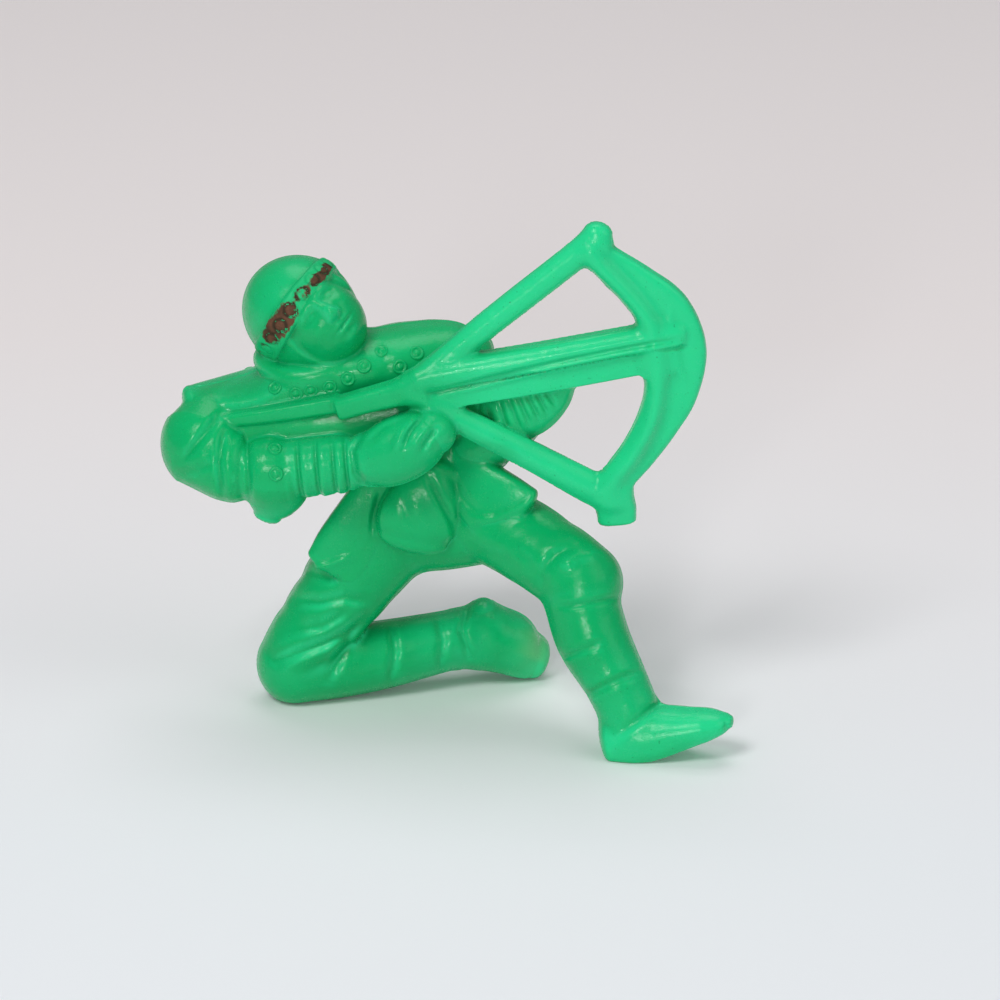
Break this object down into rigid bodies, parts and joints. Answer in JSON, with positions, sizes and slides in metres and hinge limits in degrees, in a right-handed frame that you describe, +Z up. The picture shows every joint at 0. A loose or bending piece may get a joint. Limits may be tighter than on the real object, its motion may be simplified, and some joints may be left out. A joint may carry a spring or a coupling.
{
  "type": "toy crossbowman figure",
  "caption": "Kneeling medieval toy crossbowman moulded in green plastic, aiming a spanned crossbow, with a coif, a studded cape and a worn brown headband.",
  "frame": {"origin": "on the floor, under the middle of the figure's box", "axes": "+Z up, +X to the figure's left, along the stock towards the bow, and -Y the way the figure faces"},
  "size_m": [0.0531, 0.0242, 0.0493],
  "materials": {
    "green_polythene": "soft satin moulded polythene, slightly translucent where thin",
    "brown_paint": "hand-brushed paint, worn through to the green"
  },
  "bodies": {
    "root": {"bow_limb_upper": "green_polythene", "bow_limb_lower": "green_polythene", "crossbow_stock": "green_polythene", "crossbow_bolt": "green_polythene", "bowstring_upper": "green_polythene", "bowstring_lower": "green_polythene", "right_hand": "green_polythene", "left_hand": "green_polythene", "headband": "brown_paint", "face": "green_polythene", "skull_cap": "green_polythene", "coif": "green_polythene", "coif_collar": "green_polythene", "shoulder_cape": "green_polythene", "right_bell_cuff": "green_polythene", "right_forearm": "green_polythene", "right_sleeve": "green_polythene", "left_forearm": "green_polythene", "left_sleeve": "green_polythene", "skirt_left_panel": "green_polythene", "skirt_front_flap": "green_polythene", "skirt_right_panel": "green_polythene", "skirt_back_panel": "green_polythene", "right_boot": "green_polythene", "left_boot": "green_polythene", "right_shin": "green_polythene", "left_shin": "green_polythene", "right_thigh": "green_polythene", "left_thigh": "green_polythene", "tunic_body": "green_polythene"}
  },
  "joints": []
}
